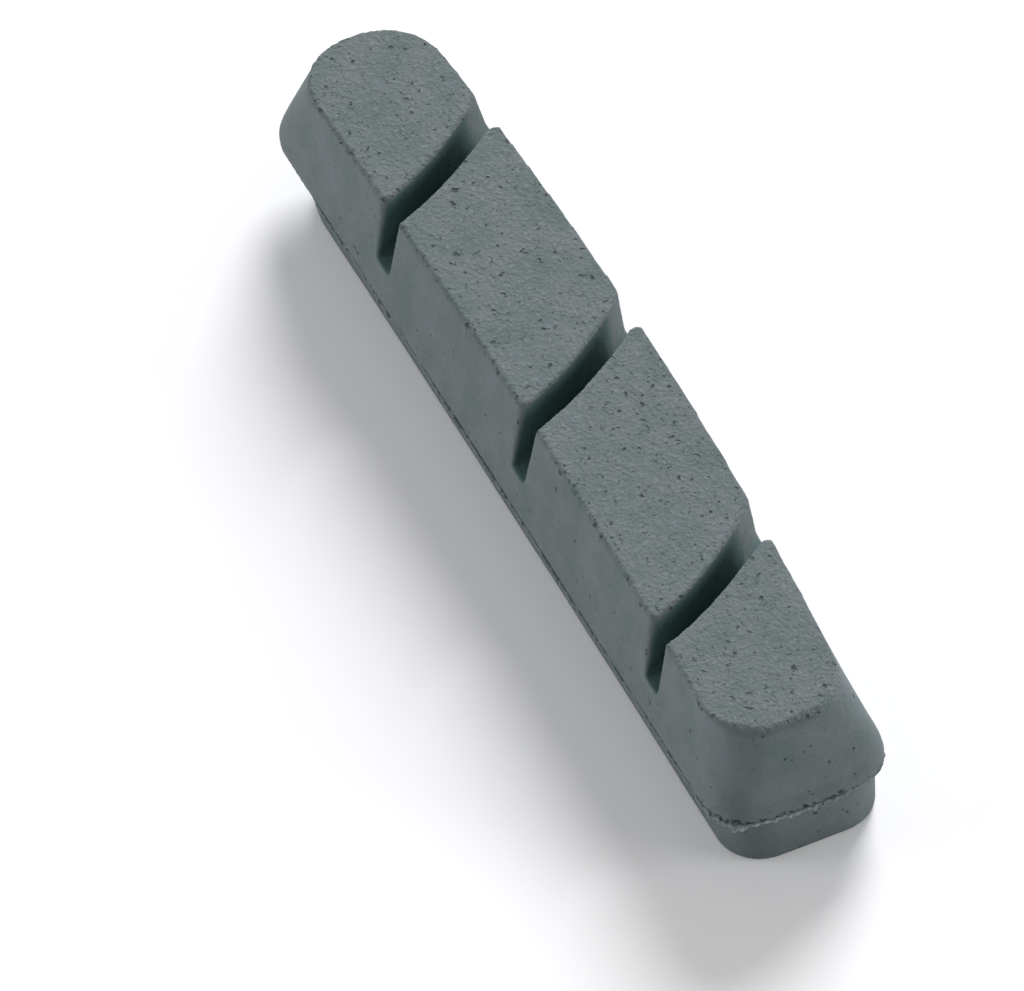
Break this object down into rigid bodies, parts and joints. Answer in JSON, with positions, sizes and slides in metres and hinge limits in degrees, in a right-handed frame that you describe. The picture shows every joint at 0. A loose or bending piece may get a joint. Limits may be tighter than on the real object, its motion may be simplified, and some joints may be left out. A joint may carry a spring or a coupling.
{
  "type": "bicycle rim brake pad insert",
  "caption": "Slim moulded friction block with one round and one square end, curved water slots across its face, a brim, and a base tongue that slides into a brake shoe.",
  "frame": {"origin": "centre of the pad's length and width, on the flat back of the base tongue", "axes": "+X along the pad from its round end to its square end, +Y across it towards the bowed outer side, +Z out of the friction face"},
  "size_m": [0.055, 0.01, 0.0094],
  "materials": {
    "friction_compound": "matte moulded friction compound, grey-green with dark specks"
  },
  "bodies": {
    "root": {"brake_pad": "friction_compound"}
  },
  "joints": []
}
